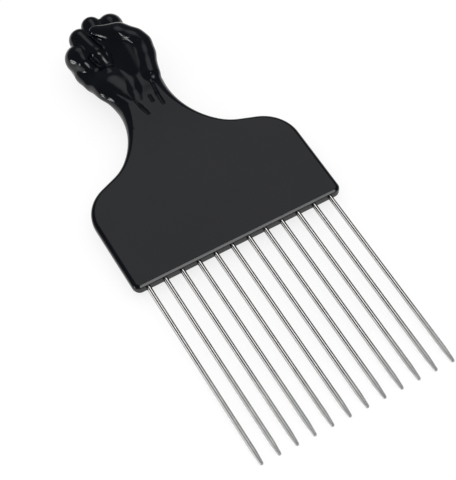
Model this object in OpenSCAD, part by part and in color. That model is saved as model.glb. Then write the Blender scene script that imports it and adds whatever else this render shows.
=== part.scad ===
// Afro pick: a moulded handle that ends in a closed right hand, with a row of straight steel pins.
// The pick lies flat, its front up. +X runs across the plate and +Y from the pins to the hand.
// The origin is the middle of the plate's straight-sided part, on its flat back.

/* [Plate] */
// Width of the plate across its straight sides
plate_w = 90.2; // [87:0.1:110]
// Length of the straight sides, from the tooth edge to the shoulders
side_l = 33; // [26:0.5:50]
// Thickness of the plate
plate_t = 4.4; // [4:0.1:7]
// Radius of the two corners at the tooth edge, seen from above
corner_r = 3; // [2:0.5:6]
// Slant length of the bevel along the tooth edge
tooth_bevel = 0.95; // [0.2:0.05:1.2]
// Rounding of the bevel's two borders at the tooth edge
tooth_edge_r = 0.4; // [0.2:0.05:0.8]
// Slant length of the bevel along the sides
side_bevel = 0.1; // [0.05:0.05:0.2]
// Rounding along the sides
side_edge_r = 1.8; // [0.5:0.1:1.9]
// Angle above level that the bevels face
bevel_turn = 59; // [35:1:65]

/* [Shoulders and neck] */
// Radius of the two shoulders
shoulder_r = 16.3; // [8:0.1:18]
// Angle through which a shoulder turns
shoulder_turn = 68.5; // [60:0.5:74]
// Radius of the short curve from the shoulder's slope into the neck
flare_r = 20; // [8:0.5:24]
// Slope at which the long curve of the neck begins
neck_turn = 45.5; // [38:0.5:50]
// Radius of the long curve of the neck
neck_r = 33.8; // [28:0.2:40]
// Width of the neck where it is narrowest
neck_w = 23; // [18:0.2:25]

/* [Hand] */
// Thickness of the wrist where it meets the palm
wrist_t = 11.6; // [9:0.2:14]
// Rounding of the wrist's sides where it meets the palm
wrist_edge_r = 5.6; // [3.5:0.1:5.8]
// Width that the hand is laid out on
hand_w = 36; // [32:0.5:42]
// Length that the hand is laid out on, from the narrowest part of the neck
hand_l = 50; // [45:0.5:56]
// Thickness that the hand is laid out on
hand_t = 20; // [17:0.5:23]
// Thickness that the fingers and the thumb are laid out on
finger_d = 8.4; // [7.6:0.1:9]
// Softness of the folds between the fingers
fold_r = 0.35; // [0.2:0.05:0.8]
// Softness of the finger joints
joint_r = 0.5; // [0.3:0.05:1]
// Softness of the fold between the fingers or the thumb and the palm
palm_fold_r = 0.9; // [0.5:0.1:2]
// Softness of the folds between the pads of the palm
pad_fold_r = 1; // [0.5:0.1:2]
// Softness of the change from the wrist to the palm
wrist_fold_r = 2.2; // [1:0.1:4]
// Softness of the rim of the hollow in the palm
hollow_r = 0.45; // [0.2:0.05:1]

/* [Teeth] */
// Number of teeth
tooth_n = 12; // [4:1:14]
// Distance from an outer tooth's centre to the side of the plate
end_margin = 5.5; // [3.5:0.1:8]
// Diameter of a tooth
tooth_d = 2; // [1.5:0.1:2.2]
// Length of a tooth outside the plate
tooth_l = 84.5; // [50:0.5:110]
// Length of the tapered end of a tooth
taper_l = 6; // [2:0.5:12]
// Radius of a tooth's rounded tip
tip_r = 0.7; // [0.3:0.05:0.7]
// Length of a tooth's root inside the plate
root_l = 14; // [11:0.5:25]
// Depth of the grip grooves round a root
grip_depth = 0.2; // [0.1:0.05:0.3]
// Width of a grip groove
grip_w = 1.2; // [0.6:0.1:1.6]
// Number of grip grooves round a root
grip_n = 3; // [1:1:3]

/* [Fits] */
// Clearance between a root and the plastic round it
seat_gap = 0.02; // [0.01:0.01:0.05]

/* [Hidden] */
// Places along the hand are shares of hand_w, hand_l and hand_t, and the last share sets the radius.
// Each finger runs from its back knuckle over its front knuckle to its tip, with radii by finger_d.
little_finger_shares = [[-0.33, 0.66, -0.23, 0.60], [-0.35, 0.65, 0.08, 0.68],
                        [-0.35, 0.55, 0.19, 0.34], [-0.30, 0.45, 0.07, 0.32]];
ring_finger_shares = [[-0.15, 0.76, -0.27, 0.55], [-0.23, 0.79, 0.18, 0.54],
                      [-0.17, 0.56, 0.26, 0.36], [-0.13, 0.48, 0.12, 0.36]];
middle_finger_shares = [[0.03, 0.83, -0.27, 0.55], [-0.03, 0.88, 0.16, 0.48],
                        [-0.06, 0.56, 0.18, 0.42], [-0.09, 0.47, 0.07, 0.34]];
index_finger_shares = [[0.21, 0.79, -0.22, 0.55], [0.17, 0.82, 0.10, 0.62],
                       [0.11, 0.61, 0.11, 0.45], [0.04, 0.50, 0.02, 0.38]];
// A fingertip that shows between the fingers and the heel of the hand
fingertip_shares = [[-0.14, 0.42, 0.02, 0.33], [-0.17, 0.36, 0.14, 0.39]];
// The thumb runs from its root at the wrist over its joints and across the fingers to its tip.
thumb_shares = [[0.22, 0.16, 0.23, 0.47], [0.29, 0.36, 0.25, 0.47], [0.32, 0.46, 0.30, 0.44],
                [0.27, 0.53, 0.33, 0.51], [0.14, 0.62, 0.37, 0.59], [-0.06, 0.75, 0.38, 0.30]];
thumb_flat_share = 0.78;
// The pads of the palm are flattened limbs, with radii by hand_w and flatness as a share of the radius.
heel_pad_shares = [[-0.26, 0.40, -0.03, 0.20], [-0.20, 0.24, 0.09, 0.19], [-0.12, 0.12, 0.06, 0.20]];
heel_pad_flat_share = 0.6;
thumb_pad_shares = [[0.14, 0.56, 0.17, 0.23], [0.12, 0.13, -0.02, 0.19]];
thumb_pad_flat_share = 0.85;
back_pad_shares = [[-0.29, 0.54, -0.08, 0.20], [-0.13, 0.60, -0.17, 0.22], [0.16, 0.63, -0.15, 0.24]];
back_pad_flat_share = 0.75;
// A shallow hollow in the palm, with radii by finger_d
palm_hollow_shares = [[-0.02, 0.16, 0.52, 0.55], [-0.05, 0.04, 0.495, 0.55],
                      [-0.08, -0.05, 0.465, 0.55]];
// Where the wrist ends inside the palm, and where the hand's skin starts to close over the knuckles
wrist_end_share = 0.22;
crown_share = 0.55;
// Half width of the flat core that the skin is measured from
core_share = 0.19;

half_w = plate_w / 2;
half_t = plate_t / 2;
half_neck = neck_w / 2;
edge_y = -side_l / 2;
shoulder_in = shoulder_r * (1 - cos(shoulder_turn));
flare_in = flare_r * (cos(neck_turn) - cos(shoulder_turn));
neck_in = neck_r * (1 - cos(neck_turn));
slope_l = (half_w - half_neck - shoulder_in - flare_in - neck_in) / sin(shoulder_turn);
slope_y = side_l + shoulder_r * sin(shoulder_turn) + slope_l * cos(shoulder_turn);
neck_y = slope_y + flare_r * (sin(shoulder_turn) - sin(neck_turn)) + neck_r * sin(neck_turn);
wrist_end = neck_y + wrist_end_share * hand_l;
crown_y = neck_y + crown_share * hand_l;
tooth_span = plate_w - 2 * end_margin;
tooth_pitch = tooth_span / (tooth_n - 1);
grip_step = root_l / (grip_n + 1);

// How finely the handle's skin is divided
rim_steps = 4;
face_steps = 10;
corner_steps = 4;
shoulder_steps = 6;
flare_steps = 2;
neck_steps = 7;
hand_step = 1.05;
crown_rings = 26;
walk_steps = 16;
skin_tolerance = 0.01;
tip_steps = 6;
// Slope of the neck's curve at which the skin starts to follow the hand
skin_turn = 16;

function tooth_name(i) = str("tooth_", i < 10 ? "0" : "", i);

// Number helpers
function limit(v, low, high) = max(low, min(high, v));
function ease(s) = let (t = limit(s, 0, 1)) t * t * (3 - 2 * t);
function mix(a, b, s) = a + (b - a) * s;
function xyz(p) = [p.x, p.y, p.z];
function sum(v) = v * [for (d = v) 1];

// The handle's half thickness and edge rounding grow from the shoulders' slope to the end of the wrist.
function swell(y) = ease((y - slope_y) / (wrist_end - slope_y));
function half_thickness(y) = mix(half_t, wrist_t / 2, swell(y));
function edge_rounding(y) = mix(side_edge_r, wrist_edge_r, swell(y));
function half_width(y) =
    let (back = min(max(0, neck_y - y), neck_r))
    half_neck + neck_r - sqrt(neck_r * neck_r - back * back);

// The outline's right half as stations: a point, and the angle of the outward normal there
function along(angle) = [cos(angle), sin(angle)];
function arc(centre, radius, from, to, steps, skip = 0) =
    [for (i = [skip:steps])
        let (angle = mix(from, to, i / steps))
        [centre + radius * along(angle), angle]];
shoulder_centre = [half_w - shoulder_r, side_l];
slope_way = [-sin(shoulder_turn), cos(shoulder_turn)];
slope_end = shoulder_centre + shoulder_r * along(shoulder_turn) + slope_l * slope_way;
flare_centre = slope_end + flare_r * along(shoulder_turn);
neck_centre = flare_centre + (neck_r - flare_r) * along(neck_turn);
stations = concat(
    arc([half_w - corner_r, corner_r], corner_r, -90, 0, corner_steps),
    arc(shoulder_centre, shoulder_r, 0, shoulder_turn, shoulder_steps),
    arc(flare_centre, -flare_r, shoulder_turn, neck_turn, flare_steps),
    arc(neck_centre, -neck_r, neck_turn, skin_turn, neck_steps, 1));

// A ring of the skin goes round the handle: down the right rim, back along the underside to the
// left, up the left rim and along the top to the right.
rim_n = 4 * (rim_steps + 1);
ring_n = 2 * rim_n + 2 * face_steps;
function mirrored(points) = [for (i = [len(points) - 1:-1:0]) [-points[i].x, points[i].y, points[i].z]];
function between(a, b) = [for (i = [1:face_steps]) mix(a, b, i / (face_steps + 1))];
function closed_ring(right) = let (left = mirrored(right)) concat(
    right, between(right[rim_n - 1], left[0]), left, between(left[rim_n - 1], right[0]));

// A rim is rounded, slants down a bevel, is rounded again, and is the same upside down below.
// The rounding and the bevel change round the corners of the tooth edge.
function station_rounding(s) =
    s[1] < 0 ? mix(side_edge_r, tooth_edge_r, ease(-s[1] / 90)) : edge_rounding(s[0].y);
function station_bevel(s) = s[1] < 0 ? mix(side_bevel, tooth_bevel, ease(-s[1] / 90)) : side_bevel;
function rim_half(h, r, bevel) = concat(
    [for (i = [0:rim_steps])
        let (angle = mix(90, bevel_turn, i / rim_steps))
        [r * (cos(angle) - 1) - bevel * sin(bevel_turn), h - r + r * sin(angle)]],
    [for (i = [0:rim_steps])
        let (angle = mix(bevel_turn, 0, i / rim_steps))
        [r * (cos(angle) - 1), h - r - bevel * cos(bevel_turn) + r * sin(angle)]]);
function station_rim(s) =
    let (front = rim_half(half_thickness(s[0].y), station_rounding(s), station_bevel(s)),
         back = [for (i = [len(front) - 1:-1:0]) [front[i].x, -front[i].y]])
    [for (q = concat(front, back)) let (p = s[0] + q.x * along(s[1])) [p.x, p.y, q.y]];

// The hand is a field: its value at a point is about the distance to the skin, negative inside.
function softly(v, r) = let (low = min(v)) low - r * ln(sum([for (d = v) exp((low - d) / r)]));
function joined(a, b, r) = let (s = limit(0.5 + (b - a) / (2 * r), 0, 1)) mix(b, a, s) - r * s * (1 - s);
function placed(s, size) = [s.x * hand_w, neck_y + s.y * hand_l, s.z * hand_t, s[3] * size];
function squashed(p, flat) = [p.x, p.y, p.z / flat];
function limbs(shares, size, flat = 1) =
    [for (i = [0:len(shares) - 2])
        let (a = placed(shares[i], size), b = placed(shares[i + 1], size), run = squashed(b - a, flat),
             length = norm(run), lean = (b[3] - a[3]) / length)
        [xyz(a), run / length, length, a[3], b[3] - a[3], flat, lean / sqrt(1 - lean * lean)]];
function limb_distance(p, limb) =
    let (q = squashed(p - limb[0], limb[5]), u = q * limb[1], off = sqrt(max(0, q * q - u * u)),
         s = limit((u + limb[6] * off) / limb[2], 0, 1))
    (norm([u - s * limb[2], off]) - limb[3] - s * limb[4]) * limb[5];
function limbs_distance(p, list, r) = softly([for (limb = list) limb_distance(p, limb)], r);
function hand_limbs() = [
    [for (shares = [little_finger_shares, ring_finger_shares, middle_finger_shares, index_finger_shares,
                    fingertip_shares])
        limbs(shares, finger_d)],
    concat(limbs(heel_pad_shares, hand_w, heel_pad_flat_share),
           limbs(thumb_pad_shares, hand_w, thumb_pad_flat_share),
           limbs(back_pad_shares, hand_w, back_pad_flat_share)),
    limbs(thumb_shares, finger_d, thumb_flat_share),
    limbs(palm_hollow_shares, finger_d)];
function hand_distance(p, hand) =
    let (fingers = softly([for (finger = hand[0]) limbs_distance(p, finger, joint_r)], fold_r),
         palm = limbs_distance(p, hand[1], pad_fold_r),
         thumb = limbs_distance(p, hand[2], palm_fold_r))
    joined(joined(palm, fingers, palm_fold_r), thumb, palm_fold_r);
function wrist_distance(p) =
    let (h = half_thickness(p.y), r = min(edge_rounding(p.y), h),
         side = neck_r - norm([abs(p.x) - half_neck - neck_r, min(p.y - neck_y, 0)]),
         q = [side + r, p.y - wrist_end + r, abs(p.z) - h + r])
    norm([for (d = q) max(d, 0)]) + min(max(q), 0) - r;
function handle_distance(p, hand) =
    let (solid = joined(wrist_distance(p), hand_distance(p, hand), wrist_fold_r))
    -joined(-solid, limbs_distance(p, hand[3], joint_r), hollow_r);

// Walks in from outside, along a ray from the core, until it meets the skin
function on_skin(from, way, reach, hand, left = walk_steps) =
    let (d = handle_distance(from + reach * way, hand))
    left == 0 || abs(d) < skin_tolerance
        ? from + reach * way
        : on_skin(from, way, reach - d, hand, left - 1);

// One ring of rays: core is the half width of their start, and tilt turns them towards the knuckles.
function ray_ring(y, core, tilt, hand) =
    let (reach = hand_w / 2,
         rims = [for (side = [1, -1], i = [0:rim_n - 1])
             let (turn = side * (90 - 180 * i / (rim_n - 1)))
             [side * core, [side * cos(turn), sin(turn)]]],
         faces = [for (side = [1, -1], i = [1:face_steps])
             [side * core * (1 - 2 * i / (face_steps + 1)), [0, -side]]],
         rays = concat([for (i = [0:rim_n - 1]) rims[i]], [for (i = [0:face_steps - 1]) faces[i]],
                       [for (i = [rim_n:2 * rim_n - 1]) rims[i]],
                       [for (i = [face_steps:2 * face_steps - 1]) faces[i]]))
    [for (ray = rays)
        let (way = [ray[1].x * cos(tilt), sin(tilt), ray[1].y * cos(tilt)])
        on_skin([ray[0] * cos(tilt), y, 0], way, reach, hand)];

function skin_rings(hand) =
    let (start = stations[len(stations) - 1][0].y, rows = ceil((crown_y - start) / hand_step),
         core = core_share * hand_w)
    concat(
        [for (s = stations) closed_ring(station_rim(s))],
        [for (i = [1:rows])
            let (y = mix(start, crown_y, i / rows))
            ray_ring(y, max(core, half_width(y) - edge_rounding(y)), 0, hand)],
        [for (i = [1:crown_rings - 1]) ray_ring(crown_y, core, 90 * i / crown_rings, hand)]);

// The tooth edge closes the first ring with a grid, whose inner points follow the rings and the pole.
function edge_grid(ring) =
    [for (row = [1:rim_n - 2]) each between(ring[row], ring[rim_n + face_steps + rim_n - 1 - row])];
function grid_index(row, column, first) =
    column == 0 ? row
    : column == face_steps + 1 ? rim_n + face_steps + rim_n - 1 - row
    : row == 0 ? ring_n - column
    : row == rim_n - 1 ? rim_n + column - 1
    : first + (row - 1) * face_steps + column - 1;
function quad(a, b, c, d) = [[a, b, c], [a, c, d]];

module skin() {
    rings = skin_rings(hand_limbs());
    last = (len(rings) - 1) * ring_n;
    pole = len(rings) * ring_n;
    crown = on_skin([0, crown_y, 0], [0, 1, 0], hand_w, hand_limbs());
    points = concat([for (ring = rings) each ring], [crown], edge_grid(rings[0]));
    faces = concat(
        [for (i = [0:len(rings) - 2], j = [0:ring_n - 1])
            let (a = i * ring_n + j, b = i * ring_n + (j + 1) % ring_n)
            each quad(a, a + ring_n, b + ring_n, b)],
        [for (j = [0:ring_n - 1]) [last + j, pole, last + (j + 1) % ring_n]],
        [for (row = [0:rim_n - 2], column = [0:face_steps])
            let (next = row + 1, beside = column + 1)
            each quad(grid_index(row, column, pole + 1), grid_index(next, column, pole + 1),
                      grid_index(next, beside, pole + 1), grid_index(row, beside, pole + 1))]);
    polyhedron(points, faces, convexity = 8);
}

// Half section of a root, its end at zero and its mouth past the plate's edge, grown by a clearance
function root_section(gap, over) = concat(
    [[0, -gap], [tooth_d / 2 + gap, -gap]],
    [for (i = [1:grip_n])
        let (low = i * grip_step - grip_w / 2 + gap, high = i * grip_step + grip_w / 2 - gap)
        each [[tooth_d / 2 + gap, low], [tooth_d / 2 - grip_depth + gap, low],
              [tooth_d / 2 - grip_depth + gap, high], [tooth_d / 2 + gap, high]]],
    [[tooth_d / 2 + gap, root_l + over]]);

// Half section of a whole tooth: the root, the straight shaft, the taper and the rounded tip
function tooth_section() =
    let (length = root_l + tooth_l,
         slant = atan((tooth_d / 2 - tip_r) / (taper_l - tip_r)))
    concat(
        root_section(0, tooth_l - taper_l),
        [for (i = [0:tip_steps])
            let (angle = mix(slant, 90, i / tip_steps))
            [tip_r * cos(angle), length - tip_r * (1 - sin(angle))]]);

// Stands a half section at a tooth's place, with its root in the plate
module at_tooth(i) {
    translate([(i - 1) * tooth_pitch - tooth_span / 2, root_l + edge_y, half_t])
        rotate([90, 0, 0])
            rotate_extrude($fn = 48)
                children();
}

module tooth(i) {
    color("silver")
        at_tooth(i)
            polygon(tooth_section());
}

// The seat runs out through the plate's edge, past its rounding.
module tooth_seat(i) {
    at_tooth(i)
        polygon(concat(root_section(seat_gap, side_edge_r), [[0, root_l + side_edge_r]]));
}

module handle() {
    color([0.03, 0.03, 0.035])
        difference() {
            translate([0, edge_y, half_t])
                skin();
            for (i = [1:tooth_n])
                tooth_seat(i);
        }
}

handle();
for (i = [1:tooth_n])
    tooth(i);
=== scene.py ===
"""Afro pick on a white floor: a glossy black handle that ends in a closed hand, and twelve steel pins."""

import math

import bmesh
import bpy
import numpy as np
from mathutils import Matrix


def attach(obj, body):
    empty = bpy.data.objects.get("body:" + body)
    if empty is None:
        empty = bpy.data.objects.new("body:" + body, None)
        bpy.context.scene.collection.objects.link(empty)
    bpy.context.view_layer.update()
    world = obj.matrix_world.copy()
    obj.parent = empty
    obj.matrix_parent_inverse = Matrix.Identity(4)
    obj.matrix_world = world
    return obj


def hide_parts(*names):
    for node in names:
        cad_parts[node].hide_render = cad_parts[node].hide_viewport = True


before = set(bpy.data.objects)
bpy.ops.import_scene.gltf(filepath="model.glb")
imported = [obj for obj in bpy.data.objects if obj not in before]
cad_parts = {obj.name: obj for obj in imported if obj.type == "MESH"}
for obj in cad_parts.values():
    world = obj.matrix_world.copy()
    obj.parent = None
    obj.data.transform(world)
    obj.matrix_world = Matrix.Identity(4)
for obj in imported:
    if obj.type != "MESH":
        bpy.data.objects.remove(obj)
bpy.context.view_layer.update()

# All sizes are millimetres, laid out with the tooth edge at y = 0 and the plate's middle at z = 0.
# The frame's origin is the middle of the straight-sided part of the plate, on its back.
MM = 0.001

# Plate and neck
PLATE_W = 90.2
PLATE_T = 4.4
SIDE_L = 33.0
CORNER_R = 3.0
SHOULDER_R = 16.3
SHOULDER_TURN = math.radians(68.5)
FLARE_R = 20.0
NECK_TURN = math.radians(45.5)
NECK_R = 33.8
NECK_W = 23.0

# Rounding and bevel of the plate's rim, along the sides and at the tooth edge
SIDE_EDGE_R = 1.8
SIDE_BEVEL = 0.1
EDGE_R = 0.4
TOOTH_BEVEL = 0.95
BEVEL_TURN = math.radians(59)

# Wrist and hand
WRIST_T = 11.6
WRIST_EDGE_R = 5.6
WRIST_END_SHARE = 0.22
HAND_W = 36.0
HAND_L = 50.0
HAND_T = 20.0
FINGER_D = 8.4

# Soft joins: between fingers, along a finger, at the palm, between pads and at the wrist,
# then round the palm's hollow, across a groove and along it
FOLD_R = 0.35
JOINT_R = 0.5
PALM_FOLD_R = 0.9
PAD_FOLD_R = 1.0
WRIST_FOLD_R = 2.2
HOLLOW_R = 0.45
GROOVE_R = 0.3
GROOVE_JOINT_R = 0.12

# Pins
TOOTH_N = 12
TOOTH_D = 2.0
TOOTH_L = 84.5
TAPER_L = 6.0
TIP_R = 0.7
ROOT_L = 14.0
END_MARGIN = 5.5

# Limbs of the hand. A point is a place, as shares of the hand's width, length and thickness, and then
# a radius, as a share of HAND_W for the pads and of FINGER_D for the others.
LITTLE = [(-0.33, 0.66, -0.23, 0.6), (-0.35, 0.65, 0.08, 0.68),
          (-0.35, 0.55, 0.19, 0.34), (-0.3, 0.45, 0.07, 0.32)]
RING = [(-0.15, 0.76, -0.27, 0.55), (-0.23, 0.79, 0.18, 0.54),
        (-0.17, 0.56, 0.26, 0.36), (-0.13, 0.48, 0.12, 0.36)]
MIDDLE = [(0.03, 0.83, -0.27, 0.55), (-0.03, 0.88, 0.16, 0.48),
          (-0.06, 0.56, 0.18, 0.42), (-0.09, 0.47, 0.07, 0.34)]
INDEX = [(0.21, 0.79, -0.22, 0.55), (0.17, 0.82, 0.1, 0.62),
         (0.11, 0.61, 0.11, 0.45), (0.04, 0.5, 0.02, 0.38)]
FINGERTIP = [(-0.14, 0.42, 0.02, 0.33), (-0.17, 0.36, 0.14, 0.39)]
THUMB = [(0.22, 0.16, 0.23, 0.47), (0.29, 0.36, 0.25, 0.47), (0.32, 0.46, 0.3, 0.44),
         (0.27, 0.53, 0.33, 0.51), (0.14, 0.62, 0.37, 0.59), (-0.06, 0.75, 0.38, 0.3)]
HEEL_PAD = [(-0.26, 0.4, -0.03, 0.2), (-0.2, 0.24, 0.09, 0.19), (-0.12, 0.12, 0.06, 0.2)]
THUMB_PAD = [(0.14, 0.56, 0.17, 0.23), (0.12, 0.13, -0.02, 0.19)]
BACK_PAD = [(-0.29, 0.54, -0.08, 0.2), (-0.13, 0.6, -0.17, 0.22), (0.16, 0.63, -0.15, 0.24)]
PALM_HOLLOW = [(-0.02, 0.16, 0.52, 0.55), (-0.05, 0.04, 0.495, 0.55), (-0.08, -0.05, 0.465, 0.55)]

# Fine grooves: the crease of the heel and the tendons of the wrist
GROOVES = [
    [(-0.31, 0.22, 0.35, 0.12), (-0.24, 0.09, 0.32, 0.12), (-0.16, -0.02, 0.30, 0.12)],
    [(-0.115, -0.02, 0.27, 0.07), (-0.095, -0.105, 0.23, 0.07), (-0.065, -0.19, 0.21, 0.07)],
    [(0.055, -0.045, 0.255, 0.07), (0.055, -0.10, 0.235, 0.07)],
    [(0.165, 0.055, 0.305, 0.08), (0.145, -0.055, 0.25, 0.08), (0.145, -0.16, 0.225, 0.08)],
]

# Thickness of the flattened limbs, from back to front, as a share of their width
THUMB_FLAT = 0.78
HEEL_PAD_FLAT = 0.6
THUMB_PAD_FLAT = 0.85
BACK_PAD_FLAT = 0.75

# Places that follow from the sizes
HALF_W = PLATE_W / 2
HALF_T = PLATE_T / 2
HALF_NECK = NECK_W / 2
SLOPE_L = (HALF_W - HALF_NECK - SHOULDER_R * (1 - math.cos(SHOULDER_TURN))
           - FLARE_R * (math.cos(NECK_TURN) - math.cos(SHOULDER_TURN))
           - NECK_R * (1 - math.cos(NECK_TURN))) / math.sin(SHOULDER_TURN)
SLOPE_Y = SIDE_L + SHOULDER_R * math.sin(SHOULDER_TURN) + SLOPE_L * math.cos(SHOULDER_TURN)
NECK_Y = SLOPE_Y + FLARE_R * (math.sin(SHOULDER_TURN) - math.sin(NECK_TURN)) + NECK_R * math.sin(NECK_TURN)
WRIST_END = NECK_Y + WRIST_END_SHARE * HAND_L
PIN_L = ROOT_L + TOOTH_L
PLACE = np.array([0.0, -SIDE_L / 2, HALF_T])

# The plate and neck are made of rings up to NET_Y, and the wrist and hand of a net that follows the field.
NET_BELOW_NECK = 12.2
NET_Y = NECK_Y - NET_BELOW_NECK
FULL_STEP = 0.32
NET_STEP = FULL_STEP


def ease(s):
    """A share from 0 to 1 that starts and ends gently."""
    t = np.clip(s, 0, 1)
    return t * t * (3 - 2 * t)


def mix(a, b, s):
    return a + (b - a) * s


# The hand as a field: about the distance to the skin, negative inside
def limbs(shares, size, flat=1.0):
    """Tapered round limbs from point to point, each as the values that its distance needs."""
    size_of_hand = np.array([HAND_W, HAND_L, HAND_T])
    points = [(np.array(s[:3]) * size_of_hand + [0, NECK_Y, 0], s[3] * size) for s in shares]
    made = []
    for (a, ra), (b, rb) in zip(points, points[1:]):
        run = (b - a) * [1, 1, 1 / flat]
        length = math.sqrt(run @ run)
        lean = (rb - ra) / length
        made.append((a, run / length, length, ra, rb - ra, flat, lean / math.sqrt(1 - lean * lean)))
    return made


FINGERS = [limbs(shares, FINGER_D) for shares in (LITTLE, RING, MIDDLE, INDEX, FINGERTIP)]
PALM = (limbs(HEEL_PAD, HAND_W, HEEL_PAD_FLAT) + limbs(THUMB_PAD, HAND_W, THUMB_PAD_FLAT)
        + limbs(BACK_PAD, HAND_W, BACK_PAD_FLAT))
THUMB_LIMBS = limbs(THUMB, FINGER_D, THUMB_FLAT)
HOLLOW_LIMBS = limbs(PALM_HOLLOW, FINGER_D)
GROOVE_LIMBS = [limbs(shares, FINGER_D) for shares in GROOVES]


def limb_distance(p, limb):
    start, way, length, radius, growth, flat, lean = limb
    q = (p - start) * [1, 1, 1 / flat]
    u = q @ way
    off = np.sqrt(np.maximum((q * q).sum(-1) - u * u, 0))
    s = np.clip((u + lean * off) / length, 0, 1)
    return (np.hypot(u - s * length, off) - radius - s * growth) * flat


def softly(values, r):
    """Least of several distances, with soft joins between them."""
    values = np.stack(values)
    low = values.min(0)
    return low - r * np.log(np.exp((low - values) / r).sum(0))


def joined(a, b, r):
    """Least of two distances, with a rounded fold where they meet."""
    s = np.clip(0.5 + (b - a) / (2 * r), 0, 1)
    return mix(b, a, s) - r * s * (1 - s)


def carved(d, hollow, r):
    """A distance with a hollow cut out of its solid."""
    return -joined(-d, hollow, r)


def limbs_distance(p, made, r):
    return softly([limb_distance(p, limb) for limb in made], r)


def hand_distance(p):
    fingers = softly([limbs_distance(p, finger, JOINT_R) for finger in FINGERS], FOLD_R)
    palm = limbs_distance(p, PALM, PAD_FOLD_R)
    thumb = limbs_distance(p, THUMB_LIMBS, PALM_FOLD_R)
    return joined(joined(palm, fingers, PALM_FOLD_R), thumb, PALM_FOLD_R)


def swell(y):
    """How far the plate's thickness has grown into the wrist's."""
    return ease((y - SLOPE_Y) / (WRIST_END - SLOPE_Y))


def wrist_distance(p):
    x = abs(p[..., 0])
    y = p[..., 1]
    z = abs(p[..., 2])
    h = mix(HALF_T, WRIST_T / 2, swell(y))
    r = np.minimum(mix(SIDE_EDGE_R, WRIST_EDGE_R, swell(y)), h)
    side = NECK_R - np.hypot(x - HALF_NECK - NECK_R, np.minimum(y - NECK_Y, 0))
    q = np.stack([side + r, y - WRIST_END + r, z - h + r], -1)
    return np.linalg.norm(np.maximum(q, 0), axis=-1) + np.minimum(q.max(-1), 0) - r


def distance(p):
    d = joined(wrist_distance(p), hand_distance(p), WRIST_FOLD_R)
    d = carved(d, limbs_distance(p, HOLLOW_LIMBS, JOINT_R), HOLLOW_R)
    for groove in GROOVE_LIMBS:
        d = carved(d, limbs_distance(p, groove, GROOVE_JOINT_R), GROOVE_R)
    return d


SLOPE_REACH = 0.02
LEAST_SLOPE = 0.05
SKIN_ROUNDS = 3


def slope(p):
    """How the field changes along x, y and z."""
    g = np.empty_like(p)
    for axis in range(3):
        step = np.zeros(3)
        step[axis] = SLOPE_REACH
        g[:, axis] = (distance(p + step) - distance(p - step)) / (2 * SLOPE_REACH)
    return g


def onto_skin(p):
    """Points moved down or up the field until they lie on the skin."""
    for _ in range(SKIN_ROUNDS):
        g = slope(p)
        p = p - (distance(p) / np.maximum((g * g).sum(1), LEAST_SLOPE))[:, None] * g
    return p


# The net round the hand: one point in each cell that the skin crosses.
# A coarse grid finds the nodes near the skin, within NEAR_SKIN of its cells.
COARSE = 4
NEAR_SKIN = 1.6
SIDE_ROOM = 4
END_ROOM = 2
BACK_ROOM = 3
FRONT_ROOM = 5


def field_grid(low, counts):
    """Field values at the grid's nodes, worked out finely only near the skin."""
    axes = [low[i] + NET_STEP * np.arange(0, counts[i] + COARSE, COARSE) for i in range(3)]
    rough = distance(np.stack(np.meshgrid(*axes, indexing="ij"), -1).reshape(-1, 3))
    rough = rough.reshape([len(a) for a in axes])
    nearest = [(np.arange(counts[i]) + COARSE // 2) // COARSE for i in range(3)]
    values = rough[np.ix_(*nearest)]
    near = np.argwhere(abs(values) < NEAR_SKIN * COARSE * NET_STEP)
    values[tuple(near.T)] = distance(low + NET_STEP * near)
    return values


def crossings(values, cells):
    """Mean of the places where the skin crosses each cell's edges, in cells from its lowest corner."""
    total = np.zeros((len(cells), 3))
    count = np.zeros(len(cells))
    for axis in range(3):
        others = [i for i in range(3) if i != axis]
        for corner in ((0, 0), (1, 0), (0, 1), (1, 1)):
            start = np.zeros(3, int)
            start[others] = corner
            end = start.copy()
            end[axis] = 1
            a = values[tuple((cells + start).T)]
            b = values[tuple((cells + end).T)]
            cut = (a < 0) != (b < 0)
            share = np.where(cut, a / np.where(cut, a - b, 1), 0)
            total += cut[:, None] * (start + share[:, None] * (end - start))
            count += cut
    return total / count[:, None]


def crossed_cells(inside):
    """Which cells have corners on both sides of the skin."""
    nx, ny, nz = (n - 1 for n in inside.shape)
    corners = np.stack([inside[i:nx + i, j:ny + j, k:nz + k]
                        for i in (0, 1) for j in (0, 1) for k in (0, 1)])
    return corners.any(0) & ~corners.all(0)


def quads_round(inside, number, axis):
    """Quads round the grid's edges that run along one axis and cross the skin, facing outward."""
    u, v = (axis + 1) % 3, (axis + 2) % 3
    last = inside.shape[axis] - 1
    one = inside.take(range(last), axis)
    other = inside.take(range(1, last + 1), axis)
    edges = np.argwhere(one != other)
    edges = edges[(edges[:, u] > 0) & (edges[:, v] > 0)
                  & (edges[:, u] < inside.shape[u] - 1) & (edges[:, v] < inside.shape[v] - 1)]
    outward = one[tuple(edges.T)]
    around = []
    for du, dv in ((1, 1), (0, 1), (0, 0), (1, 0)):
        cell = edges.copy()
        cell[:, u] -= du
        cell[:, v] -= dv
        around.append(number[tuple(cell.T)])
    around = np.stack(around, 1)
    return np.where(outward[:, None], around, around[:, ::-1])


def surface_net(values):
    """Cells that the skin crosses, and the quads that join them."""
    inside = values < 0
    crossed = crossed_cells(inside)
    cells = np.argwhere(crossed)
    number = np.full(crossed.shape, -1)
    number[tuple(cells.T)] = np.arange(len(cells))
    return cells, np.concatenate([quads_round(inside, number, axis) for axis in range(3)])


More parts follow.
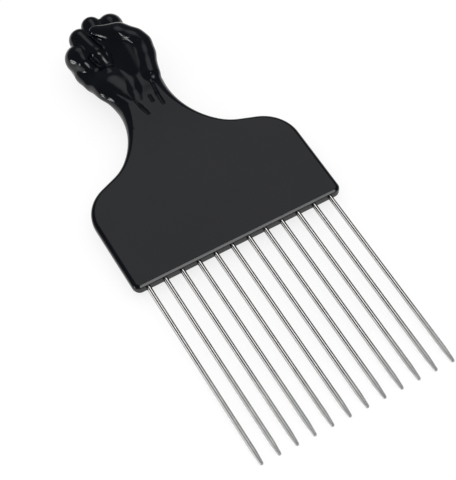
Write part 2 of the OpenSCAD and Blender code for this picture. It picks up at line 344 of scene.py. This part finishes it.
def hand_net():
    """Points and quads of the wrist and hand, open where the neck's last ring joins them."""
    low = np.array([-HAND_W / 2 - SIDE_ROOM, NET_Y, -HAND_T / 2 - BACK_ROOM])
    high = np.array([HAND_W / 2 + SIDE_ROOM, NECK_Y + HAND_L + END_ROOM, HAND_T / 2 + FRONT_ROOM])
    counts = np.ceil((high - low) / NET_STEP).astype(int) + 1
    values = field_grid(low, counts)
    cells, quads = surface_net(values)
    points = low + NET_STEP * (cells + crossings(values, cells))
    return onto_skin(points), quads


# The plate and the neck, as rings over the outline's stations.
# A ring is the right rim, the back, the left rim and the front.
CORNER_STEPS = 12
SIDE_STEPS = 7
SHOULDER_STEPS = 20
SLOPE_STEPS = 4
FLARE_STEPS = 8
NECK_STEPS = 24
SEAM_GAP = 0.3
RIM_STEPS = 6
RIM_N = 4 * (RIM_STEPS + 1)
FACE_STEPS = 22
ON_SKIN_TURN = math.radians(22)

# The outermost points of a face lie close to the rims, so that it shades flat up to them.
FACE_SHARES = np.concatenate([[0.004], np.linspace(0, 1, FACE_STEPS)[1:-1], [0.996]])


def along(angle):
    return np.array([math.cos(angle), math.sin(angle)])


def arc(centre, radius, first, last, steps, skip=0):
    """Points of an arc, each with the turn of its outward side."""
    angles = [mix(first, last, i / steps) for i in range(skip, steps + 1)]
    return [(np.array(centre) + radius * along(a), a) for a in angles]


def outline():
    """The right side's points and turns, from the tooth edge's corner up to the net."""
    turn = SHOULDER_TURN
    shoulder = np.array([HALF_W - SHOULDER_R, SIDE_L])
    slope_start = shoulder + SHOULDER_R * along(turn)
    slope_end = slope_start + SLOPE_L * np.array([-math.sin(turn), math.cos(turn)])
    flare = slope_end + FLARE_R * along(turn)
    neck = flare + (NECK_R - FLARE_R) * along(NECK_TURN)
    last = math.asin((NECK_Y - NET_Y + SEAM_GAP) / NECK_R)
    side = np.linspace(CORNER_R, SIDE_L, SIDE_STEPS + 1)[1:-1]
    return (arc((HALF_W - CORNER_R, CORNER_R), CORNER_R, -math.pi / 2, 0, CORNER_STEPS)
            + [(np.array([HALF_W, y]), 0.0) for y in side]
            + arc(shoulder, SHOULDER_R, 0, turn, SHOULDER_STEPS)
            + [(mix(slope_start, slope_end, i / SLOPE_STEPS), turn) for i in range(1, SLOPE_STEPS)]
            + arc(flare, -FLARE_R, turn, NECK_TURN, FLARE_STEPS)
            + arc(neck, -NECK_R, NECK_TURN, last, NECK_STEPS, skip=1))


def rim_profile(h, r, bevel):
    """Outward place and height down a rim: two roundings with a short bevel between them, then mirrored."""
    high = np.linspace(math.pi / 2, BEVEL_TURN, RIM_STEPS + 1)
    low = np.linspace(BEVEL_TURN, 0, RIM_STEPS + 1)
    centre = h - r - bevel * math.cos(BEVEL_TURN)
    upper = np.column_stack([r * (np.cos(high) - 1) - bevel * math.sin(BEVEL_TURN), h - r + r * np.sin(high)])
    lower = np.column_stack([r * (np.cos(low) - 1), centre + r * np.sin(low)])
    front = np.concatenate([upper, lower])
    return np.concatenate([front, front[::-1] * [1, -1]])


def station_rim(point, angle):
    """The rim's points at one place of the outline, from front to back."""
    y = point[1]
    h = mix(HALF_T, WRIST_T / 2, swell(y))
    r = mix(SIDE_EDGE_R, WRIST_EDGE_R, swell(y))
    bevel = SIDE_BEVEL
    if angle < 0:
        share = ease(-angle / (math.pi / 2))
        r = mix(SIDE_EDGE_R, EDGE_R, share)
        bevel = mix(SIDE_BEVEL, TOOTH_BEVEL, share)
    profile = rim_profile(h, r, bevel)
    flat = point + profile[:, :1] * along(angle)
    return np.column_stack([flat, profile[:, 1]])


def between(a, b):
    """Points across a face, from one rim to the other."""
    return mix(a, b, FACE_SHARES[:, None])


def closed_ring(right):
    left = right[::-1] * [-1, 1, 1]
    return np.concatenate([right, between(right[-1], left[0]), left, between(left[-1], right[0])])


def plate_rings():
    """The rings of the plate and the neck. Those near the hand lie on the field's skin."""
    rings = []
    for point, angle in outline():
        ring = closed_ring(station_rim(point, angle))
        if point[1] > SLOPE_Y and angle < NECK_TURN:
            share = ease((NECK_TURN - angle) / (NECK_TURN - ON_SKIN_TURN))
            ring = mix(ring, onto_skin(ring), share)
        rings.append(ring)
    return rings


def opposite(row):
    """Number in its ring of the left rim's point that faces a point of the right rim."""
    return RIM_N + FACE_STEPS + RIM_N - 1 - row


def grid_number(row, column, ring_n, first):
    """Number of a point of the grid that closes the tooth edge: its rim is the first ring."""
    if column == 0:
        return row
    if column == FACE_STEPS + 1:
        return opposite(row)
    if row == 0:
        return ring_n - column
    if row == RIM_N - 1:
        return RIM_N + column - 1
    return first + (row - 1) * FACE_STEPS + column - 1


def ring_faces(ring_count, ring_n):
    faces = []
    for i in range(ring_count - 1):
        for j in range(ring_n):
            a = i * ring_n + j
            b = i * ring_n + (j + 1) % ring_n
            faces.append((a, b, b + ring_n, a + ring_n))
    return faces


def tooth_edge_faces(ring_n, first):
    faces = []
    for row in range(RIM_N - 1):
        for column in range(FACE_STEPS + 1):
            corners = ((row, column), (row, column + 1), (row + 1, column + 1), (row + 1, column))
            faces.append(tuple(grid_number(i, j, ring_n, first) for i, j in corners))
    return faces


def open_loop(quads):
    """The net's open edge, as a chain of point numbers."""
    edges = np.concatenate([np.column_stack([quads[:, i], quads[:, (i + 1) % 4]]) for i in range(4)])
    have = set(map(tuple, edges.tolist()))
    after = {a: b for a, b in have if (b, a) not in have}
    start = next(iter(after))
    loop = [start]
    while after[loop[-1]] != start:
        loop.append(after[loop[-1]])
    return loop


def turn_of(p):
    """Angle of a point round the neck."""
    return math.atan2(p[2] / (WRIST_T / 2), p[0] / HALF_NECK) % (2 * math.pi)


def turned(points, ring):
    """A ring's point numbers in the order of their angle, and those angles with the first one again."""
    ring = sorted(ring, key=lambda i: turn_of(points[i]))
    turns = [turn_of(points[i]) for i in ring]
    return ring, turns + [turns[0] + 2 * math.pi]


def strip(points, one, other):
    """Triangles between two rings of point numbers, in step with their angle round the neck."""
    one, one_turns = turned(points, one)
    other, other_turns = turned(points, other)
    a = b = 0
    faces = []
    while a < len(one) or b < len(other):
        here, there = one[a % len(one)], other[b % len(other)]
        if b == len(other) or (a < len(one) and one_turns[a + 1] <= other_turns[b + 1]):
            a += 1
            faces.append((here, one[a % len(one)], there))
        else:
            b += 1
            faces.append((here, other[b % len(other)], there))
    return faces


def handle_mesh():
    """Points and faces of the handle: rings, the tooth edge's grid, the hand's net and the strip to it."""
    rings = plate_rings()
    edge = rings[0]
    edge_rows = [between(edge[row], edge[opposite(row)]) for row in range(1, RIM_N - 1)]
    net, quads = hand_net()
    ring_n = len(edge)
    grid_first = len(rings) * ring_n
    net_first = grid_first + len(edge_rows) * FACE_STEPS
    points = np.concatenate(rings + edge_rows + [net])
    last_ring = range(grid_first - ring_n, grid_first)
    net_edge = [net_first + i for i in open_loop(quads)]
    faces = ring_faces(len(rings), ring_n) + tooth_edge_faces(ring_n, grid_first)
    faces += strip(points, last_ring, net_edge)
    faces += [tuple(int(i) + net_first for i in quad) for quad in quads]
    return points, faces


def new_object(name, points, faces):
    """A smooth-shaded piece, moved to its place in the frame."""
    mesh = bpy.data.meshes.new(name)
    mesh.from_pydata(((np.asarray(points) + PLACE) * MM).tolist(), [], faces)
    made = bmesh.new()
    made.from_mesh(mesh)
    bmesh.ops.recalc_face_normals(made, faces=made.faces)
    made.to_mesh(mesh)
    made.free()
    mesh.polygons.foreach_set("use_smooth", [True] * len(mesh.polygons))
    piece = bpy.data.objects.new(name, mesh)
    bpy.context.scene.collection.objects.link(piece)
    return piece


# Pins. Extra rings near the root's end, the plate and the taper keep the shading even there.
ROOT_RING = 0.3
PLATE_RING = 1
TAPER_RING = 0.6
TIP_STEPS = 8
TOOTH_TURNS = 32


def tooth_profile():
    """Radius and distance from the root's end, along a pin, up to just before its very tip."""
    taper = PIN_L - TAPER_L
    places = (0, ROOT_RING, ROOT_L - PLATE_RING, ROOT_L + PLATE_RING, ROOT_L + TOOTH_L / 3,
              ROOT_L + 2 * TOOTH_L / 3, taper - TAPER_RING, taper)
    rows = [(TOOTH_D / 2, s) for s in places]
    slant = math.atan((TOOTH_D / 2 - TIP_R) / (TAPER_L - TIP_R))
    for i in range(TIP_STEPS):
        angle = mix(slant, math.pi / 2, i / TIP_STEPS)
        rows.append((TIP_R * math.cos(angle), PIN_L - TIP_R * (1 - math.sin(angle))))
    return rows


def tooth_mesh(x):
    """Points and faces of a pin: rings along it, closed by a point at each end."""
    rows = tooth_profile()
    n = TOOTH_TURNS
    turns = np.arange(n) * 2 * math.pi / n
    points = [(x, ROOT_L, 0.0)]
    for r, s in rows:
        points += [(x + r * math.cos(t), ROOT_L - s, r * math.sin(t)) for t in turns]
    points.append((x, ROOT_L - PIN_L, 0.0))
    faces = [(0, 1 + i, 1 + (i + 1) % n) for i in range(n)]
    for row in range(len(rows) - 1):
        a = 1 + row * n
        faces += [(a + i, a + n + i, a + n + (i + 1) % n, a + (i + 1) % n) for i in range(n)]
    last = 1 + (len(rows) - 1) * n
    faces += [(last + i, len(points) - 1, last + (i + 1) % n) for i in range(n)]
    return points, faces


# Materials: the colours and the roughness go from the first value to the second with a noise.
PLASTIC_COLOURS = ((0.0014, 0.0022, 0.0042), (0.0026, 0.0034, 0.0056))
PLASTIC_ROUGHNESS = (0.10, 0.18)
PLASTIC_IOR = 1.4
PLASTIC_BUMP = 0.04
STEEL_COLOURS = ((0.420, 0.415, 0.410), (0.500, 0.495, 0.490))
STEEL_ROUGHNESS = (0.05, 0.1)
STEEL_BUMP = 0.05
BUMP_DEPTH = 0.02 * MM
LINE_STRETCH = (1, 0.02, 1)
NOISE_LOW = 0.3
NOISE_HIGH = 0.7


def node(tree, kind, **values):
    made = tree.nodes.new(kind)
    for name, value in values.items():
        setattr(made, name, value)
    return made


def object_place(tree):
    return node(tree, "ShaderNodeTexCoord").outputs["Object"]


def noise(tree, where, scale, detail, roughness=0.5):
    made = node(tree, "ShaderNodeTexNoise")
    made.inputs["Scale"].default_value = scale
    made.inputs["Detail"].default_value = detail
    made.inputs["Roughness"].default_value = roughness
    tree.links.new(where, made.inputs["Vector"])
    return made.outputs[0]


def ranged(tree, source, low, high):
    """A noise spread from low to high."""
    made = node(tree, "ShaderNodeMapRange")
    for name, value in (("From Min", NOISE_LOW), ("From Max", NOISE_HIGH), ("To Min", low), ("To Max", high)):
        made.inputs[name].default_value = value
    tree.links.new(source, made.inputs["Value"])
    return made.outputs["Result"]


def blend_colours(tree, source, first, second):
    """A noise spread from one colour to another."""
    made = node(tree, "ShaderNodeMix", data_type="RGBA")
    made.inputs[6].default_value = (*first, 1)
    made.inputs[7].default_value = (*second, 1)
    tree.links.new(ranged(tree, source, 0, 1), made.inputs[0])
    return made.outputs[2]


def bumped(tree, source, strength):
    made = node(tree, "ShaderNodeBump")
    made.inputs["Strength"].default_value = strength
    made.inputs["Distance"].default_value = BUMP_DEPTH
    tree.links.new(source, made.inputs["Height"])
    return made.outputs[0]


def largest(tree, sources):
    """The largest of several values."""
    most = sources[0]
    for source in sources[1:]:
        pair = node(tree, "ShaderNodeMath", operation="MAXIMUM")
        tree.links.new(most, pair.inputs[0])
        tree.links.new(source, pair.inputs[1])
        most = pair.outputs[0]
    return most


def new_material(name):
    material = bpy.data.materials.new(name)
    material.use_nodes = True
    return material, material.node_tree


def black_plastic():
    """Glossy moulded plastic, with a soft mottle in its shine and fine handling marks."""
    material, tree = new_material("black_plastic")
    shader = tree.nodes["Principled BSDF"]
    where = object_place(tree)
    mottle = noise(tree, where, scale=60, detail=3)
    grain = noise(tree, where, scale=900, detail=4)
    marks = noise(tree, where, scale=240, detail=6, roughness=0.7)
    tree.links.new(blend_colours(tree, mottle, *PLASTIC_COLOURS), shader.inputs["Base Color"])
    tree.links.new(ranged(tree, marks, *PLASTIC_ROUGHNESS), shader.inputs["Roughness"])
    shader.inputs["IOR"].default_value = PLASTIC_IOR
    tree.links.new(bumped(tree, grain, PLASTIC_BUMP), shader.inputs["Normal"])
    return material


def polished_steel():
    """Polished wire, with faint drawing lines along the pin."""
    material, tree = new_material("polished_steel")
    shader = tree.nodes["Principled BSDF"]
    where = object_place(tree)
    stretched = node(tree, "ShaderNodeMapping")
    stretched.inputs["Scale"].default_value = LINE_STRETCH
    tree.links.new(where, stretched.inputs["Vector"])
    lines = noise(tree, stretched.outputs[0], scale=9000, detail=3)
    cloud = noise(tree, where, scale=300, detail=3)
    tree.links.new(blend_colours(tree, cloud, *STEEL_COLOURS), shader.inputs["Base Color"])
    shader.inputs["Metallic"].default_value = 1.0
    tree.links.new(ranged(tree, lines, *STEEL_ROUGHNESS), shader.inputs["Roughness"])
    tree.links.new(bumped(tree, lines, STEEL_BUMP), shader.inputs["Normal"])
    return material


# Light: the world is white, and in shine it is a dark studio with soft lights.
# A light is a direction, the angles in degrees where its edge starts and ends, and how bright it is.
DARK = 0.12
LIGHTS = [
    ((0.28, 0.46, 0.84), 9, 19, 0.96),
    ((0.253, 0.54, 0.80), 9, 19, 0.90),
    ((0.226, 0.615, 0.765), 9, 19, 0.74),
    ((0.085, -0.08, 0.99), 0.5, 1.2, 55),
    ((-0.995, -0.02, 0.03), 3, 6, 14),
    ((-0.96, 0.04, 0.26), 2.5, 5, 14),
    ((-0.975, 0.13, 0.17), 2.5, 5, 14),
    ((0.0, -0.56, 0.82), 6, 11, 6),
    ((0.22, -0.56, 0.79), 6, 11, 6),
    ((0.42, -0.56, 0.71), 5, 9, 1.2),
]

# Cards that only the pins reflect: four corners, and how bright it is
LEFT_CARD = [(-250, -100, 14), (-250, 420, 14), (-250, 420, 160), (-250, -100, 160)]
TOP_CARD = [(75, -120, 400), (185, -120, 400), (185, 460, 400), (75, 460, 400)]
CARDS = [(LEFT_CARD, 2.0), (TOP_CARD, 2.6)]

# The floor's own colour takes the object's shadow. Its lift, which the shadow doesn't reach, makes up the
# rest of the white. The gap keeps it clear of the object.
FLOOR_COLOUR = (0.25, 0.25, 0.25, 1)
FLOOR_LIFT = 0.78
FLOOR_ROUGHNESS = 0.9
FLOOR_HALF_W = 400.0
FLOOR_GAP = 0.05
WHITE = (1, 1, 1, 1)


def soft_light(tree, way, direction, inner, outer, strength):
    """How bright a light makes each direction of the world."""
    dot = node(tree, "ShaderNodeVectorMath", operation="DOT_PRODUCT")
    length = math.sqrt(sum(v * v for v in direction))
    dot.inputs[1].default_value = [v / length for v in direction]
    tree.links.new(way, dot.inputs[0])
    glow = node(tree, "ShaderNodeMapRange", interpolation_type="SMOOTHSTEP")
    glow.inputs["From Min"].default_value = math.cos(math.radians(outer))
    glow.inputs["From Max"].default_value = math.cos(math.radians(inner))
    glow.inputs["To Min"].default_value = DARK
    glow.inputs["To Max"].default_value = strength
    tree.links.new(dot.outputs["Value"], glow.inputs["Value"])
    return glow.outputs["Result"]


def studio():
    world = bpy.data.worlds.new("studio")
    bpy.context.scene.world = world
    world.use_nodes = True
    tree = world.node_tree
    tree.nodes.clear()
    way = node(tree, "ShaderNodeTexCoord").outputs["Generated"]
    shine = node(tree, "ShaderNodeBackground")
    tree.links.new(largest(tree, [soft_light(tree, way, *light) for light in LIGHTS]), shine.inputs["Color"])
    white = node(tree, "ShaderNodeBackground")
    white.inputs["Color"].default_value = WHITE
    choose = node(tree, "ShaderNodeMixShader")
    tree.links.new(node(tree, "ShaderNodeLightPath").outputs["Is Glossy Ray"], choose.inputs[0])
    tree.links.new(white.outputs[0], choose.inputs[1])
    tree.links.new(shine.outputs[0], choose.inputs[2])
    out = node(tree, "ShaderNodeOutputWorld")
    tree.links.new(choose.outputs[0], out.inputs["Surface"])


def floor_material():
    """White for the camera and in shine, with a faint shadow."""
    material, tree = new_material("white_floor")
    shader = tree.nodes["Principled BSDF"]
    shader.inputs["Base Color"].default_value = FLOOR_COLOUR
    shader.inputs["Roughness"].default_value = FLOOR_ROUGHNESS
    shader.inputs["Specular IOR Level"].default_value = 0
    path = node(tree, "ShaderNodeLightPath")
    seen = [path.outputs[kind] for kind in ("Is Camera Ray", "Is Glossy Ray", "Is Transmission Ray")]
    lift = node(tree, "ShaderNodeMath", operation="MULTIPLY")
    lift.inputs[1].default_value = FLOOR_LIFT
    tree.links.new(largest(tree, seen), lift.inputs[0])
    shader.inputs["Emission Color"].default_value = WHITE
    tree.links.new(lift.outputs[0], shader.inputs["Emission Strength"])
    return material


def card_material(glow):
    """A light that lets what lies behind it through."""
    material, tree = new_material("card_glow")
    light = node(tree, "ShaderNodeEmission")
    light.inputs["Strength"].default_value = glow
    clear = node(tree, "ShaderNodeBsdfTransparent")
    both = node(tree, "ShaderNodeAddShader")
    tree.links.new(clear.outputs[0], both.inputs[0])
    tree.links.new(light.outputs[0], both.inputs[1])
    tree.links.new(both.outputs[0], tree.nodes["Material Output"].inputs["Surface"])
    return material


def stage_plane(name, corners, material):
    """A flat sheet of the studio, which isn't part of the object. Its corners are places in the frame."""
    mesh = bpy.data.meshes.new(name)
    mesh.from_pydata([tuple(v * MM for v in corner) for corner in corners], [], [(0, 1, 2, 3)])
    mesh.materials.append(material)
    plane = bpy.data.objects.new(name, mesh)
    bpy.context.scene.collection.objects.link(plane)
    return plane


def floor(lowest):
    """A white floor that touches the back of the hand and the pins where their tapers start."""
    touch = np.array([0, TAPER_L - TOOTH_L, -TOOTH_D / 2]) + PLACE
    rise = (lowest[2] - touch[2]) / (lowest[1] - touch[1])
    corners = []
    for i, j in ((-1, -1), (1, -1), (1, 1), (-1, 1)):
        y = j * FLOOR_HALF_W
        corners.append((i * FLOOR_HALF_W, y, touch[2] + rise * (y - touch[1]) - FLOOR_GAP))
    stage_plane("floor", corners, floor_material())


def cards(pins):
    """Soft cards that only the pins reflect: one low on the left and one above."""
    lit = bpy.data.collections.new("lit_by_cards")
    for pin in pins:
        lit.objects.link(pin)
    for number, (corners, glow) in enumerate(CARDS):
        card = stage_plane("card_%d" % number, [PLACE + corner for corner in corners], card_material(glow))
        card.visible_camera = False
        card.visible_diffuse = False
        card.visible_shadow = False
        card.light_linking.receiver_collection = lit


# Camera: its place, its axes and its focal length, as found from the pins' lines in the photograph
CAMERA_PLACE = (-147.59, -297.06, 498.43)
CAMERA_RIGHT = (0.8697, -0.4915, -0.0451)
CAMERA_DOWN = (-0.4313, -0.7125, -0.5534)
CAMERA_AHEAD = (0.2399, 0.5008, -0.8317)
FOCAL_PIXELS = 1580.6
PHOTO_H = 480
SENSOR_W = 36
CLIP_START = 10
CLIP_END = 20000


def camera():
    data = bpy.data.cameras.new("camera")
    data.sensor_width = SENSOR_W
    data.sensor_fit = "AUTO"
    data.lens = FOCAL_PIXELS * SENSOR_W / PHOTO_H
    data.clip_start = CLIP_START * MM
    data.clip_end = CLIP_END * MM
    made = bpy.data.objects.new("camera", data)
    bpy.context.scene.collection.objects.link(made)
    axes = [[CAMERA_RIGHT[i], -CAMERA_DOWN[i], -CAMERA_AHEAD[i]] for i in range(3)]
    turn = Matrix(axes).to_4x4()
    turn.translation = (PLACE + CAMERA_PLACE) * MM
    made.matrix_world = turn
    bpy.context.scene.camera = made


def add_handle():
    """Make the handle, and find the lowest point of its skin."""
    points, faces = handle_mesh()
    handle = new_object("pick_handle", points, faces)
    handle.data.materials.append(black_plastic())
    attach(handle, "root")
    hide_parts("handle")
    placed = points + PLACE
    return placed[placed[:, 2].argmin()]


def add_pins():
    metal = polished_steel()
    pitch = (PLATE_W - 2 * END_MARGIN) / (TOOTH_N - 1)
    pins = []
    for i in range(TOOTH_N):
        x = pitch * i - pitch * (TOOTH_N - 1) / 2
        pin = new_object("pin_%02d" % (i + 1), *tooth_mesh(x))
        pin.data.materials.append(metal)
        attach(pin, "root")
        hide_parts("tooth_%02d" % (i + 1))
        pins.append(pin)
    return pins


lowest_point = add_handle()
pins = add_pins()
floor(lowest_point)
cards(pins)
studio()
camera()
bpy.context.scene.view_settings.view_transform = "Standard"
